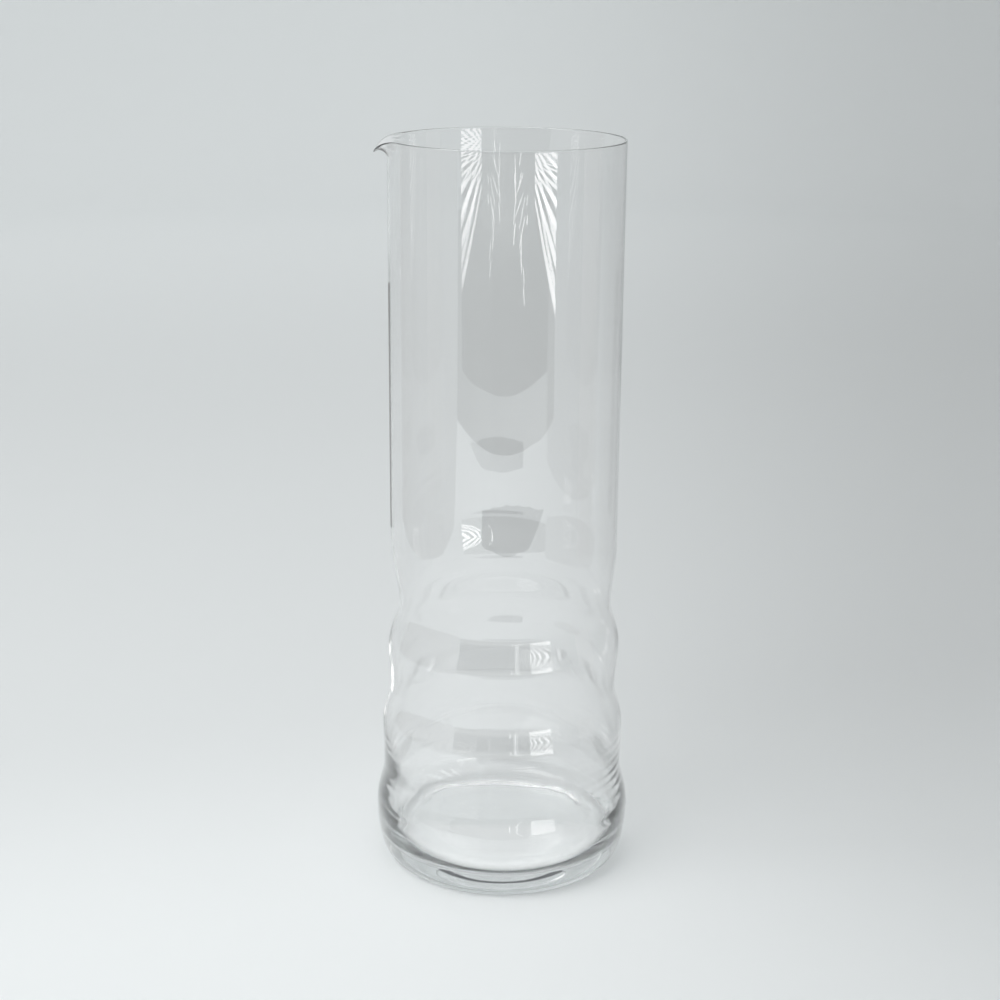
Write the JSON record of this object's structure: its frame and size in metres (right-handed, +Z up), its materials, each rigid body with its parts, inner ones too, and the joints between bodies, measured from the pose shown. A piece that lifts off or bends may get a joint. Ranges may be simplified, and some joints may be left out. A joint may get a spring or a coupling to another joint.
{
  "type": "cocktail pitcher",
  "caption": "Tall straight-sided clear glass cocktail pitcher with a small rolled pouring lip, soft waves low on the body and a thick rounded base, for stirring and pouring mixed drinks.",
  "frame": {"origin": "centre of the flat standing ring under the base, on the table", "axes": "+Z up along the vessel's axis, -X towards the pouring lip"},
  "size_m": [0.0887, 0.0886, 0.25],
  "materials": {
    "clear_glass": "clear, fire-polished, glossy"
  },
  "bodies": {
    "root": {"pitcher_body": "clear_glass"}
  },
  "joints": []
}
